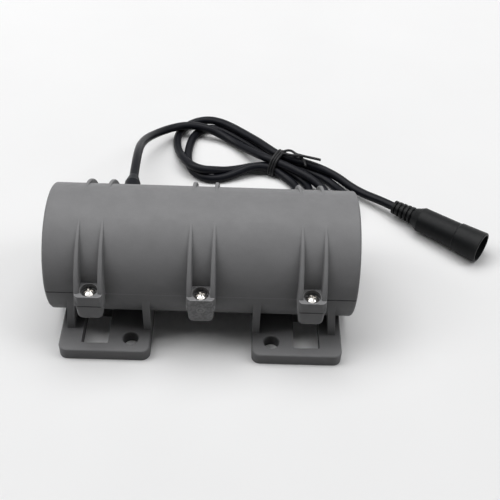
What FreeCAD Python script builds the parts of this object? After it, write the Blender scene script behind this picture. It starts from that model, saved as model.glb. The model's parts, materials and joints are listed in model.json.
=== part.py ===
import FreeCAD, Part
import math
import os

# Vibration motor in a two-piece plastic housing with four foot holes and a low-voltage cable.
# Millimetres. X runs along the motor axis, Y towards the cable side, Z up from the mounting surface.

# Housing shells
wall = 2.8
end_edge_round = 1.0
ground_gap = 2.0
parting_groove = 0.25
seam_margin = 0.5

# Lugs that hold the two shells together, on both sides
lug_can_distance = 12.5
lug_width = 9.2
lug_reach = 6.0
lug_rise = 4.7
lug_drop = 6.5
lug_taper = 0.8
lug_corner = 1.5
lug_bottom_corner = 2.0

# Pairs of thin ribs over the upper shell
rib_spacing = 7.9
rib_crest = 1.2
rib_base = 1.9
rib_drop = 7.4
rib_sink = 0.3
rib_round = 0.45

# Feet
foot_length = 32.0
foot_end_inset = 3.45
foot_lip = 3.5
foot_thickness = 5.0
foot_corner = 3.0
foot_edge_round = 0.6
foot_hole_inset_x = 7.0
foot_hole_inset_y = 6.0
foot_hole_radius = 2.75
foot_hole_chamfer = 0.3
window_width = 9.4
window_depth = 16.0
window_corner = 0.6
web_thickness = 2.6
web_inset = 1.8
web_lean = 2.0
web_margin = 0.2

# Shell screws
screw_offset = 2.7
screw_shank_radius = 1.1
screw_head_radius = 2.2
screw_head_height = 1.7
screw_length = 7.4
screw_rim_share = 0.35
screw_cross_depth = 0.8
screw_cross_share = 0.62
screw_cross_width = 0.6
screw_turn_deg = 20.0
screw_tip_length = 1.0
screw_tip_radius = 0.33
screw_hole_spare = 0.5
counterbore_radius = 2.9
counterbore_depth = 2.1
hole_clearance = 0.1

# Motor can
can_wall = 1.0
can_bevel = 1.0
can_clearance = 0.1
cradle_height = 1.7
cradle_width = 2.0
cradle_insets = (4.0, 13.0)
stop_width = 2.0
stop_depth = 3.0
stop_clearance = 0.15
end_bell_thickness = 3.0
boss_radius = 9.3
boss_length = 3.5
boss_face = 0.75
boss_bevel = 0.4
boss_opening_radius = 4.0

# Ball bearings
bearing_radius = 8.0
bearing_width = 5.0
bearing_bore_clearance = 0.02
bearing_seat_clearance = 0.05
ball_radius = 1.4
ball_count = 7
ball_pitch_radius = 5.25
ball_clearance = 0.12
race_gap_radius = 0.95
cage_thickness = 0.5
cage_width = 2.0

# Rotor
shaft_radius = 2.5
shaft_end = 1.0
shaft_chamfer = 0.4
spacer_radius = 3.7
axial_gap = 0.05
core_radius = 13.6
core_length = 26.0
core_hub_radius = 5.0
pole_count = 5
pole_stem = 3.2
pole_shoe_thickness = 1.9
pole_slot = 2.2
pole_root_depth = 0.5
coil_thickness = 2.6
coil_overhang = 3.0
coil_gap = 0.15
coil_round_share = 0.6
coil_sector_gap_deg = 2.0
coil_end_gap = 1.5
coil_case_gap = 2.0
commutator_radius = 4.6
commutator_length = 9.0
commutator_gap = 1.5
commutator_slot = 0.5
commutator_sleeve_radius = 3.4
sleeve_lip = 0.5

# Magnets and brushes
air_gap = 0.6
magnet_clearance = 0.05
magnet_thickness = 2.75
magnet_overhang = 2.0
magnet_arc = 120.0
clip_thickness = 0.5
clip_margin = 3.0
clip_side_gap_deg = 0.4
brush_width = 4.0
brush_height = 3.2
brush_length = 5.0
brush_clearance = 0.08
arm_thickness = 0.4
arm_heel = 3.0
terminal_angle_deg = 27.0
terminal_thickness = 0.5
terminal_width = 2.8
terminal_reach = 3.2
terminal_tip_round = 0.8

# Eccentric weights
weight_thickness = 14.0
weight_hub_radius = 7.0
weight_side_gap = 3.7
weight_boss_gap = 3.5
weight_end_gap = 4.65
weight_chamfer = 0.8
grub_radius = 2.0
grub_length = 4.0
grub_socket_radius = 1.0
grub_socket_depth = 1.5
shaft_flat_depth = 0.4
shaft_flat_margin = 1.0

# Cable and its boot at the housing
cable_radius = 1.8
gland_can_distance = 4.3
gland_end = 38.0
gland_body_radius = 3.05
gland_neck_radius = 3.1
gland_flange_radius = 3.9
gland_flange_thickness = 1.5
gland_face_inset = 2.25
gland_room_inset = 0.3
gland_shoulder = 0.35
gland_shoulder_run = 1.0
gland_lip = 0.1
gland_outer_flange_radius = 3.4
gland_taper_length = 4.0
gland_clearance = 0.15
lead_radius = 0.8
lead_side_gap = 0.15
lead_end_gap = 0.05
lead_bulge = 0.3

# The cable beyond the boot, down to the surface, then the tail from the hank to the connector
gland_run = 9.0
gland_run_shift = 0.3
gland_run_drop = 0.9
cable_route = [
    (-31.0, 58.0, 18.6),
    (-31.2, 69.0, 12.2),
    (-29.0, 80.0, 7.3),
    (-23.6, 89.4, 5.5),
    (-14.6, 95.6, 5.5),
]
tail_route = [
    (34.0, 72.6, 5.9),
    (40.8, 70.4, 4.7),
    (48.0, 67.6, 3.3),
    (56.0, 63.6, 2.4),
    (64.0, 58.4, 2.5),
    (71.6, 51.1, 4.4),
    (77.1, 46.9, 4.71),
]
hank_outline = [
    (-19.3, 91.5), (-17.6, 100.6), (-9.4, 106.6), (0.6, 105.6), (9.6, 98.6), (18.6, 90.0), (27.6, 81.8),
    (37.6, 75.4), (47.6, 69.4), (56.6, 60.6), (61.2, 50.6), (59.4, 40.4), (51.6, 34.2), (40.4, 33.6),
    (33.0, 39.4), (32.0, 49.6), (32.4, 59.6), (27.4, 67.2), (18.4, 67.6), (8.4, 63.2), (-1.6, 61.0),
    (-9.8, 66.0), (-14.8, 74.4), (-18.4, 83.2),
]
hank_left_hole = [
    (-8.6, 76.0), (-8.8, 86.0), (-3.6, 91.6), (4.4, 87.4),
    (12.0, 81.2), (16.6, 76.4), (8.4, 72.4), (-1.6, 69.8),
]
hank_right_hole = [(41.4, 48.6), (41.2, 58.6), (46.4, 56.4), (51.2, 50.4), (51.6, 45.2), (45.6, 43.2)]
hank_height = 8.0
tie_centre = (28.4, 73.0)
tie_direction_deg = -28.0
tie_half_width = 7.6
tie_height = 9.2
tie_radius = 0.6
tie_knot_share = 0.3
tie_stub_radius = 0.72
tie_end = (46.6, 69.9, 9.2)

# In-line low-voltage socket on the cable
socket_length = 40.0
socket_mouth_radius = 6.3
socket_step_radius = 5.85
socket_barrel_radius = 5.5
socket_shoulder_radius = 5.2
socket_shoulder = 12.9
socket_step = 29.0
socket_neck_run = 1.6
socket_neck_rise = 0.7
socket_step_run = 0.4
socket_bevel = 0.3
socket_mouth_wall = 0.9
socket_recess = 6.0
boot_length = 9.6
boot_start_radius = 2.85
boot_end_radius = 3.6
boot_groove_depth = 0.75
boot_groove_width = 0.9
boot_rib_count = 5
socket_heading_deg = -37.1
insert_clearance = 0.05
insert_step = 0.2
insert_setback = 0.5
insert_length = 12.0
barrel_bore_radius = 3.1
barrel_bore_depth = 9.5
pin_radius = 1.05
pin_recess = 1.0
pin_taper = 0.4
pin_taper_share = 0.7
pin_dome = 0.2
contact_thickness = 0.3
contact_width = 2.0
contact_bite = 0.15
contact_face_gap = 2.0

# Sizes that follow from the ones above, from the rotor outwards
can_radius = core_radius + air_gap + magnet_thickness + magnet_clearance + can_wall
can_bore = can_radius - can_wall
cavity_radius = can_radius + cradle_height
body_radius = cavity_radius + wall
axis_height = body_radius + ground_gap
commutator_span = end_bell_thickness + commutator_gap + commutator_length + coil_end_gap
core_span = core_length + 2 * coil_overhang + coil_case_gap + can_wall
can_half = (commutator_span + core_span) / 2
commutator_start = end_bell_thickness + commutator_gap - can_half
core_start = commutator_start + commutator_length + coil_end_gap + coil_overhang
core_end = core_start + core_length
magnet_start = core_start - magnet_overhang
magnet_end = core_end + magnet_overhang
magnet_outer = can_bore - magnet_clearance
terminal_circle = (boss_radius + can_bore - can_clearance) / 2
terminal_y = terminal_circle * math.cos(math.radians(terminal_angle_deg))
terminal_rise = terminal_circle * math.sin(math.radians(terminal_angle_deg))
weight_radius = cavity_radius - weight_side_gap
weight_start = can_half + boss_length + weight_boss_gap
weight_end = weight_start + weight_thickness
weight_middle = (weight_start + weight_end) / 2
cavity_end = weight_end + weight_end_gap
half_length = cavity_end + wall
lug_pitch = can_half + lug_can_distance
lug_face = body_radius + lug_reach
lug_places = (-lug_pitch, 0.0, lug_pitch)
screw_y = body_radius + screw_offset
rib_radius = body_radius + rib_drop - rib_sink
foot_outer = half_length - foot_end_inset
foot_inner = foot_outer - foot_length
foot_half_width = lug_face + foot_lip
foot_hole_x = foot_inner + foot_hole_inset_x
foot_hole_y = foot_half_width - foot_hole_inset_y
web_half_width = body_radius - web_margin
gland_x = -can_half - gland_can_distance
gland_face = cavity_radius - gland_face_inset
shaft_bore = shaft_radius + bearing_bore_clearance
socket_bore = socket_mouth_radius - socket_mouth_wall
socket_face = socket_length - socket_recess
socket_cavity_start = socket_face - insert_length
insert_radius = socket_bore - insert_step - insert_clearance
insert_face = socket_face - insert_setback
barrel_bore_bottom = insert_face - barrel_bore_depth
big = 200.0


def vec(x, y, z):
    return FreeCAD.Vector(x, y, z)


X_AXIS = vec(1, 0, 0)
Y_AXIS = vec(0, 1, 0)
Z_AXIS = vec(0, 0, 1)


def box(x0, x1, y0, y1, z0, z1):
    return Part.makeBox(x1 - x0, y1 - y0, z1 - z0, vec(x0, y0, z0))


def rod_x(x0, x1, radius):
    """A cylinder on the motor axis."""
    return Part.makeCylinder(radius, x1 - x0, vec(x0, 0, axis_height), X_AXIS)


def rod_z(x, y, z0, z1, radius):
    return Part.makeCylinder(radius, z1 - z0, vec(x, y, z0), Z_AXIS)


def ring_x(x0, x1, inner, outer):
    return rod_x(x0, x1, outer).cut(rod_x(x0 - 1, x1 + 1, inner))


def revolve_x(profile):
    """Turns a closed outline of (x, radius) points about the motor axis."""
    points = [vec(x, 0, axis_height + r) for x, r in profile]
    face = Part.Face(Part.makePolygon(points + points[:1]))
    return face.revolve(vec(0, 0, axis_height), X_AXIS, 360)


def mirror_x(shape):
    return shape.mirror(vec(0, 0, 0), X_AXIS)


def mirror_y(shape):
    return shape.mirror(vec(0, 0, 0), Y_AXIS)


def fuse_all(shapes):
    shapes = list(shapes)
    return shapes[0].multiFuse(shapes[1:]).removeSplitter() if len(shapes) > 1 else shapes[0]


def turned_about_axis(shape, degrees):
    copy = shape.copy()
    copy.rotate(vec(0, 0, axis_height), X_AXIS, degrees)
    return copy


def edges_along(shape, direction, keep):
    """Straight edges parallel to a direction whose middle passes the keep test."""
    found = []
    for edge in shape.Edges:
        start = edge.Vertexes[0].Point
        end = edge.Vertexes[-1].Point
        run = end - start
        if run.Length < 1e-6 or edge.Curve.TypeId != "Part::GeomLine":
            continue
        if abs(abs(run.normalize().dot(direction)) - 1) < 1e-3 and keep((start + end) * 0.5):
            found.append(edge)
    return found


# Housing

def body_cylinder():
    """The plain outer barrel of both shells."""
    barrel = rod_x(-half_length, half_length, body_radius)
    rims = [edge for edge in barrel.Edges if edge.Curve.TypeId == "Part::GeomCircle"]
    return barrel.makeFillet(end_edge_round, rims)


def half_space(above):
    low = axis_height if above else axis_height - big
    return box(-big, big, -big, big, low, low + big)


def cavity():
    return rod_x(-cavity_end, cavity_end, cavity_radius)


def lug_pair(make_one):
    """One lug shape repeated at the three places on both sides."""
    front = [make_one().translate(vec(x, 0, 0)) for x in lug_places]
    return front + [mirror_y(lug) for lug in front]


def upper_lug():
    half = lug_width / 2
    lug = box(-half, half, -lug_face, -cavity_radius, axis_height, axis_height + lug_rise)
    corners = edges_along(lug, Z_AXIS, lambda p: p.y < -lug_face + 0.1)
    return lug.makeFillet(lug_corner, corners)


def lower_lug():
    """A lug that narrows downwards, with rounded lower corners."""
    half = lug_width / 2
    low_half = half - lug_taper / 2
    bottom = axis_height - lug_drop
    outline = [(-half, axis_height), (half, axis_height), (low_half, bottom), (-low_half, bottom)]
    points = [vec(x, -lug_face, z) for x, z in outline]
    face = Part.Face(Part.makePolygon(points + points[:1]))
    lug = face.extrude(vec(0, lug_reach + wall, 0))
    lower_edges = edges_along(lug, Y_AXIS, lambda p: p.z < bottom + 0.1)
    lug = lug.makeFillet(lug_bottom_corner, lower_edges)
    front_edges = [e for e in lug.Edges if abs(e.CenterOfMass.x) > low_half - 0.1
                   and e.BoundBox.YMax < -lug_face + 0.01 and e.BoundBox.ZLength > lug_drop / 2]
    return lug.makeFillet(lug_corner * 0.8, front_edges)


def rib_pair(x_centre):
    """Two round-edged ribs that rise out of the barrel's shoulders and thicken towards the lugs."""
    crest_centre = vec(-lug_width, 0, axis_height - rib_drop)
    crest_disc = Part.makeCylinder(rib_radius, 2 * lug_width, crest_centre, X_AXIS)
    top = axis_height + body_radius
    low_half = rib_base / 2
    high_half = rib_crest / 2
    outline = [(-low_half, axis_height), (low_half, axis_height), (high_half, top), (-high_half, top)]
    points = [vec(x, -big, z) for x, z in outline]
    plate = Part.Face(Part.makePolygon(points + points[:1])).extrude(vec(0, 2 * big, 0))
    rib = plate.common(crest_disc).Solids[0]
    crest_edges = [e for e in rib.Edges if e.Curve.TypeId == "Part::GeomEllipse"]
    rib = rib.makeFillet(rib_round, crest_edges)
    rib = rib.cut(rod_x(-lug_width, lug_width, body_radius - wall / 2))
    return [rib.translated(vec(x_centre + side * rib_spacing / 2, 0, 0)) for side in (-1, 1)]


def groove_bar(depth_at, x0, x1):
    """A V-shaped bar along X whose tip bites into the -Y side at the parting plane."""
    rise = parting_groove + 1
    outline = [(-depth_at - 1, axis_height + rise), (-depth_at + parting_groove, axis_height),
               (-depth_at - 1, axis_height - rise)]
    points = [vec(x0, y, z) for y, z in outline]
    return Part.Face(Part.makePolygon(points + points[:1])).extrude(vec(x1 - x0, 0, 0))


def parting_cut():
    """The visible seam: on both ends, along the barrel beyond the outer lugs, and on those lugs' faces."""
    beyond = lug_pitch + lug_width / 2 + seam_margin
    front = [groove_bar(body_radius, beyond, half_length + 1),
             groove_bar(lug_face, lug_pitch - lug_width, lug_pitch + lug_width)]
    across = groove_bar(half_length, -body_radius, body_radius)
    across.rotate(vec(0, 0, 0), Z_AXIS, 90)
    right = front + [mirror_y(bar) for bar in front] + [across]
    return right + [mirror_x(bar) for bar in right]


def inner_ribs(above):
    """Half rings that cradle the motor can and stop it from sliding."""
    root = cavity_radius + wall / 3
    rings = []
    for inset in cradle_insets:
        start = can_half - inset - cradle_width / 2
        rings.append(ring_x(start, start + cradle_width, can_radius + can_clearance, root))
    stop_from = can_half + stop_clearance
    rings.append(ring_x(stop_from, stop_from + stop_width, cavity_radius - stop_depth, root))
    rings = rings + [mirror_x(ring) for ring in rings]
    return [ring.common(half_space(above)) for ring in rings]


def gland_hole():
    """The round opening for the cable boot, half in each shell, with room for its inner flange."""
    inner_y = body_radius / 2
    start = vec(gland_x, inner_y, axis_height)
    through = Part.makeCylinder(gland_neck_radius + gland_clearance, body_radius, start, Y_AXIS)
    room_end = cavity_radius - gland_room_inset
    room = Part.makeCylinder(gland_flange_radius + 2 * gland_clearance, room_end - inner_y, start, Y_AXIS)
    return [through, room]


def screw_places():
    return [(x, side * screw_y) for side in (-1, 1) for x in lug_places]


def upper_shell():
    ribs = [rib for x in lug_places for rib in rib_pair(x)]
    shell = body_cylinder().common(half_space(True))
    shell = shell.multiFuse(ribs + lug_pair(upper_lug))
    shell = shell.cut(cavity()).multiFuse(inner_ribs(True))
    top = axis_height + lug_rise
    cuts = parting_cut() + gland_hole()
    for x, y in screw_places():
        cuts.append(rod_z(x, y, top - counterbore_depth, top + body_radius, counterbore_radius))
        cuts.append(rod_z(x, y, axis_height - 1, top, screw_shank_radius + hole_clearance))
    return shell.cut(cuts).removeSplitter()


def foot():
    """One foot plate on the +X end, with its holes, mould windows and corner rounds."""
    plate = box(foot_inner, foot_outer, -foot_half_width, foot_half_width, 0, foot_thickness)
    plate = plate.makeFillet(foot_corner, edges_along(plate, Z_AXIS, lambda p: True))
    rim = [e for e in plate.Edges if e.BoundBox.ZMin > foot_thickness - 0.01]
    plate = plate.makeFillet(foot_edge_round, rim)
    cuts = []
    for side in (-1, 1):
        y = side * foot_hole_y
        cuts.append(rod_z(foot_hole_x, y, -1, foot_thickness + 1, foot_hole_radius))
        cuts.append(Part.makeCone(foot_hole_radius, foot_hole_radius + foot_hole_chamfer, foot_hole_chamfer,
                                  vec(foot_hole_x, y, foot_thickness - foot_hole_chamfer), Z_AXIS))
        y_out = side * lug_face
        y_in = side * (lug_face - window_depth)
        window = box(lug_pitch - window_width / 2, lug_pitch + window_width / 2,
                     min(y_out, y_in), max(y_out, y_in), -1, foot_thickness + 1)
        cuts.append(window.makeFillet(window_corner, edges_along(window, Z_AXIS, lambda p: True)))
    return plate.cut(cuts)


def webs():
    """Walls that tie each foot to the barrel: an upright inner one and an outer one that leans inwards."""
    top = axis_height - math.sqrt(body_radius ** 2 - web_half_width ** 2)
    low = foot_thickness / 2
    inner = box(foot_inner, foot_inner + web_thickness, -web_half_width, web_half_width, low, top)
    edge = foot_outer - web_inset
    high_edge = edge - web_lean
    outline = [(edge, low), (high_edge, top), (high_edge - web_thickness, top), (edge - web_thickness, low)]
    points = [vec(x, -web_half_width, z) for x, z in outline]
    outer = Part.Face(Part.makePolygon(points + points[:1])).extrude(vec(0, 2 * web_half_width, 0))
    return [inner, outer]


def lower_shell():
    shell = body_cylinder().common(half_space(False))
    right = [foot()] + webs()
    shell = shell.multiFuse(right + [mirror_x(piece) for piece in right] + lug_pair(lower_lug))
    shell = shell.cut(cavity()).multiFuse(inner_ribs(False))
    cuts = parting_cut() + gland_hole()
    depth = screw_length - (lug_rise - counterbore_depth) + screw_hole_spare
    for x, y in screw_places():
        cuts.append(rod_z(x, y, axis_height - depth, axis_height + 1, screw_shank_radius + hole_clearance))
    return shell.cut(cuts).removeSplitter()


def shell_screw():
    """A pan-head screw with a cross recess, head up, its seat at z = 0."""
    rim = screw_head_height * screw_rim_share
    head = Part.makeCylinder(screw_head_radius, rim)
    crown_height = screw_head_height - rim
    ball = (screw_head_radius ** 2 + crown_height ** 2) / (2 * crown_height)
    crown = Part.makeSphere(ball, vec(0, 0, screw_head_height - ball))
    crown = crown.common(Part.makeCylinder(screw_head_radius, crown_height + 1, vec(0, 0, rim)))
    shank_end = screw_tip_length - screw_length
    shank = Part.makeCylinder(screw_shank_radius, -shank_end, vec(0, 0, shank_end))
    tip = Part.makeCone(screw_tip_radius, screw_shank_radius, screw_tip_length, vec(0, 0, -screw_length))
    screw = fuse_all([head, crown, shank, tip])
    reach = screw_head_radius * screw_cross_share
    half = screw_cross_width / 2
    floor = screw_head_height - screw_cross_depth
    for turn in (0, 90):
        arm = box(-reach, reach, -half, half, floor, screw_head_height + 1)
        arm.rotate(vec(0, 0, 0), Z_AXIS, turn + screw_turn_deg)
        screw = screw.cut(arm)
    return screw


def shell_screws():
    seat = axis_height + lug_rise - counterbore_depth
    return Part.makeCompound([shell_screw().translated(vec(x, y, seat)) for x, y in screw_places()])


# Motor case

def bearing_centre():
    return can_half + boss_length - boss_face - bearing_width / 2


def motor_can():
    """Deep-drawn steel can, open on the left and with a bearing boss on the right."""
    seat = bearing_radius + bearing_seat_clearance
    left = -can_half
    right = can_half
    end = right + boss_length
    return revolve_x([
        (left, can_radius), (right - can_bevel, can_radius), (right, can_radius - can_bevel),
        (right, boss_radius), (end - boss_bevel, boss_radius), (end, boss_radius - boss_bevel),
        (end, boss_opening_radius), (end - boss_face, boss_opening_radius), (end - boss_face, seat),
        (right - can_wall, seat), (right - can_wall, can_bore), (left, can_bore),
    ])


def end_bell():
    """Moulded cover that closes the left end, with the other bearing seat and two terminal slots."""
    seat = bearing_radius + bearing_seat_clearance
    left = -can_half
    inner = left + end_bell_thickness
    end = left - boss_length
    rim = can_bore - can_clearance
    bell = revolve_x([
        (inner, rim), (left, rim), (left, boss_radius), (end + boss_bevel, boss_radius),
        (end, boss_radius - boss_bevel), (end, boss_opening_radius), (end + boss_face, boss_opening_radius),
        (end + boss_face, seat), (inner, seat),
    ])
    return bell.cut([terminal_slot(side) for side in (-1, 1)])


def terminal_box(side, x0, x1, margin):
    """A flat bar through the place of one solder tag."""
    half_width = terminal_width / 2 + margin
    half_thickness = terminal_thickness / 2 + margin
    z = axis_height + side * terminal_rise
    return box(x0, x1, terminal_y - half_width, terminal_y + half_width,
               z - half_thickness, z + half_thickness)


def terminal_slot(side):
    return terminal_box(side, -half_length, 0, hole_clearance)


def magnet_ring(inner, outer, x0, x1, arc, centre_deg):
    """A slice of a ring on the motor axis, centred on an angle from the +Y direction."""
    ring = ring_x(x0, x1, inner, outer)
    reach = 2 * can_radius
    start = math.radians(centre_deg - arc / 2)
    middle = math.radians(centre_deg)
    end = math.radians(centre_deg + arc / 2)
    points = [vec(x0 - 1, 0, axis_height)]
    for angle in (start, middle, end):
        points.append(vec(x0 - 1, reach * math.cos(angle), axis_height + reach * math.sin(angle)))
    wedge = Part.Face(Part.makePolygon(points + points[:1])).extrude(vec(x1 - x0 + 2, 0, 0))
    return ring.common(wedge)


def magnets():
    inner = magnet_outer - magnet_thickness
    x0 = magnet_start
    x1 = magnet_end
    pair = [magnet_ring(inner, magnet_outer, x0, x1, magnet_arc, side) for side in (90, -90)]
    return Part.makeCompound(pair)


def magnet_clips():
    """Two leaf clips that press the magnets apart."""
    x0 = magnet_start + clip_margin
    x1 = magnet_end - clip_margin
    inner = magnet_outer - clip_thickness
    arc = 180 - magnet_arc - clip_side_gap_deg
    pair = [magnet_ring(inner, magnet_outer, x0, x1, arc, side) for side in (0, 180)]
    return Part.makeCompound(pair)


def brush_x():
    return commutator_start + commutator_length / 2


def brush(side):
    """A carbon block with a hollow face that follows the commutator."""
    half = brush_width / 2
    face = commutator_radius + brush_clearance
    block = box(brush_x() - half, brush_x() + half, commutator_radius / 2, commutator_radius + brush_length,
                axis_height - brush_height / 2, axis_height + brush_height / 2)
    block = block.cut(rod_x(-half_length, 0, face))
    return block if side > 0 else mirror_y(block)


def brush_arm(side):
    """A leaf spring from the end bell that carries one brush on its tip."""
    inner = end_bell_thickness - can_half
    outside = commutator_radius + brush_length
    low = axis_height - brush_height / 2
    high = axis_height + brush_height / 2
    leaf = box(inner, brush_x() + brush_width / 2, outside, outside + arm_thickness, low, high)
    heel = box(inner, inner + arm_thickness, outside, outside + arm_heel, low, high)
    arm = fuse_all([leaf, heel])
    return arm if side > 0 else mirror_y(arm)


def motor_terminals():
    """Two solder tags that stand out of the end bell, level with the cable boot."""
    tags = []
    outer = -can_half - terminal_reach
    inner = end_bell_thickness - can_half
    for side in (-1, 1):
        tag = terminal_box(side, outer, inner, 0)
        tip = edges_along(tag, Z_AXIS, lambda p: p.x < outer + 0.1)
        tags.append(tag.makeFillet(terminal_tip_round, tip))
    return Part.makeCompound(tags)


def lead_wire(side):
    """One insulated core from the boot, round and down on to its tag."""
    start_rise = lead_radius + lead_side_gap
    end_rise = terminal_rise + terminal_thickness / 2 + lead_radius + lead_end_gap
    start_y = gland_face - lead_end_gap
    bend_y = start_y - 2 * lead_radius
    tag_tip = -can_half - terminal_reach
    route = [
        (gland_x, start_y, start_rise),
        (gland_x, bend_y, start_rise),
        (gland_x - lead_bulge, (bend_y + terminal_y) / 2, (start_rise + end_rise) / 2),
        (tag_tip - lead_radius, terminal_y, end_rise),
        (tag_tip + 2 * terminal_reach / 3, terminal_y, end_rise),
    ]
    return tube([(x, y, axis_height + side * rise) for x, y, rise in route], lead_radius)


# Bearings

def race_profile(inner, outer, centre):
    return ring_x(centre - bearing_width / 2, centre + bearing_width / 2, inner, outer)


def ball_groove(centre):
    groove_radius = ball_radius + ball_clearance
    return Part.makeTorus(ball_pitch_radius, groove_radius, vec(centre, 0, axis_height), X_AXIS)


def bearing_outer_ring(centre):
    inner = ball_pitch_radius + race_gap_radius
    return race_profile(inner, bearing_radius, centre).cut(ball_groove(centre))


def bearing_inner_ring(centre):
    outer = ball_pitch_radius - race_gap_radius
    return race_profile(shaft_bore, outer, centre).cut(ball_groove(centre))


def ball_places(centre):
    step = 2 * math.pi / ball_count
    angles = [step * (index + 0.25) for index in range(ball_count)]
    reach = ball_pitch_radius
    return [vec(centre, reach * math.cos(a), axis_height + reach * math.sin(a)) for a in angles]


def bearing_balls(centre):
    return Part.makeCompound([Part.makeSphere(ball_radius, place) for place in ball_places(centre)])


def bearing_cage(centre):
    """A thin ring with one round pocket for each ball."""
    inner = ball_pitch_radius - cage_thickness / 2
    cage = ring_x(centre - cage_width, centre + cage_width, inner, inner + cage_thickness)
    pockets = [Part.makeSphere(ball_radius + bearing_seat_clearance, place) for place in ball_places(centre)]
    return cage.cut(pockets)


# Rotor

def rotor_shaft():
    """Double-ended shaft with a flat for each grub screw."""
    end = weight_end + shaft_end
    shaft = revolve_x([
        (-end, 0), (-end, shaft_radius - shaft_chamfer), (-end + shaft_chamfer, shaft_radius),
        (end - shaft_chamfer, shaft_radius), (end, shaft_radius - shaft_chamfer), (end, 0),
    ])
    flat_z = axis_height + shaft_radius - shaft_flat_depth
    half = grub_radius + shaft_flat_margin
    flats = [box(x - half, x + half, -shaft_radius, shaft_radius, flat_z, flat_z + shaft_radius)
             for x in (-weight_middle, weight_middle)]
    return shaft.cut(flats)


def pole_shoe_inner():
    return core_radius - pole_shoe_thickness


def armature_core():
    """The slotted lamination stack: a hub, five stems and five wide pole shoes."""
    x0 = core_start
    x1 = core_end
    hub = rod_x(x0, x1, core_hub_radius)
    rim = ring_x(x0, x1, pole_shoe_inner(), core_radius)
    stems = []
    slots = []
    stem_top = axis_height + core_radius - pole_root_depth
    step = 360 / pole_count
    for index in range(pole_count):
        stem = box(x0, x1, -pole_stem / 2, pole_stem / 2, axis_height, stem_top)
        slot = box(x0 - 1, x1 + 1, -pole_slot / 2, pole_slot / 2, axis_height + core_hub_radius + 1,
                   axis_height + core_radius + 1)
        stems.append(turned_about_axis(stem, index * step))
        slots.append(turned_about_axis(slot, (index + 0.5) * step))
    core = hub.multiFuse([rim.cut(slots)] + stems).removeSplitter()
    return core.cut(rod_x(x0 - 1, x1 + 1, shaft_bore))


def armature_windings():
    """One coil on each stem, kept to its own sector."""
    x0 = core_start
    x1 = core_end
    low = axis_height + core_hub_radius + coil_gap
    high = axis_height + pole_shoe_inner() - coil_gap
    half = pole_stem / 2 + coil_gap
    outer = half + coil_thickness
    coil = box(x0 - coil_overhang, x1 + coil_overhang, -outer, outer, low, high)
    coil = coil.makeFillet(coil_overhang * coil_round_share, edges_along(coil, Z_AXIS, lambda p: True))
    coil = coil.cut(box(x0 - coil_gap, x1 + coil_gap, -half, half, low - 1, high + 1))
    sector = magnet_ring(core_hub_radius + coil_gap, pole_shoe_inner() - coil_gap, x0 - coil_overhang - 1,
                         x1 + coil_overhang + 1, 360 / pole_count - coil_sector_gap_deg, 90)
    coil = coil.common(sector)
    step = 360 / pole_count
    return Part.makeCompound([turned_about_axis(coil, index * step) for index in range(pole_count)])


def commutator():
    """Copper segments with slots between them."""
    x0 = commutator_start
    x1 = x0 + commutator_length
    ring = ring_x(x0, x1, commutator_sleeve_radius, commutator_radius)
    step = 360 / pole_count
    slots = []
    for index in range(pole_count):
        slot = box(x0 - 1, x1 + 1, -commutator_slot / 2, commutator_slot / 2, axis_height,
                   axis_height + commutator_radius + 1)
        slots.append(turned_about_axis(slot, index * step))
    return Part.makeCompound(ring.cut(slots).Solids)


def commutator_sleeve():
    """Insulating sleeve under the copper, up to the core."""
    sleeve_start = commutator_start - sleeve_lip
    return ring_x(sleeve_start, core_start - axial_gap, shaft_bore, commutator_sleeve_radius)


def shaft_spacers():
    """Two collars that set the rotor's place between the bearings."""
    inner_face = bearing_centre() - bearing_width / 2 - axial_gap
    right = ring_x(core_end + axial_gap, inner_face, shaft_bore, spacer_radius)
    left = ring_x(-inner_face, commutator_start - sleeve_lip - axial_gap, shaft_bore, spacer_radius)
    return Part.makeCompound([left, right])


def eccentric_weight(side):
    """A half-round steel weight that hangs below a hub, with a tapped hole for its grub screw."""
    x0 = weight_start
    x1 = weight_end
    disc = rod_x(x0, x1, weight_radius)
    lobe = disc.common(box(x0, x1, -big, big, axis_height - big, axis_height))
    weight = fuse_all([lobe, rod_x(x0, x1, weight_hub_radius)])
    arcs = [e for e in weight.Edges if e.Curve.TypeId == "Part::GeomCircle"
            and abs(e.Curve.Radius - weight_radius) < 0.01]
    weight = weight.makeChamfer(weight_chamfer, arcs)
    weight = weight.cut(rod_x(x0 - 1, x1 + 1, shaft_bore))
    bore = Part.makeCylinder(grub_radius + hole_clearance / 2, weight_hub_radius + 1,
                             vec(weight_middle, 0, axis_height), Z_AXIS)
    weight = weight.cut(bore)
    return weight if side > 0 else mirror_x(weight)


def weight_grub_screws():
    """Socket screws that bear on the flats of the shaft."""
    seat = axis_height + shaft_radius - shaft_flat_depth
    screws = []
    for x in (-weight_middle, weight_middle):
        body = Part.makeCylinder(grub_radius, grub_length, vec(x, 0, seat + bearing_bore_clearance), Z_AXIS)
        top = seat + grub_length
        points = []
        for corner in range(7):
            angle = math.radians(60 * corner)
            along = grub_socket_radius * math.cos(angle)
            points.append(vec(x + along, grub_socket_radius * math.sin(angle), top - grub_socket_depth))
        socket = Part.Face(Part.makePolygon(points)).extrude(vec(0, 0, 2 * grub_socket_depth))
        screws.append(body.cut(socket))
    return Part.makeCompound(screws)


# Cable

def lead_points():
    """The route from the boot's end down to the hank."""
    start = (gland_x, gland_end, axis_height)
    second = (gland_x - gland_run_shift, gland_end + gland_run, axis_height - gland_run_drop)
    return [start, second] + cable_route


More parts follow.
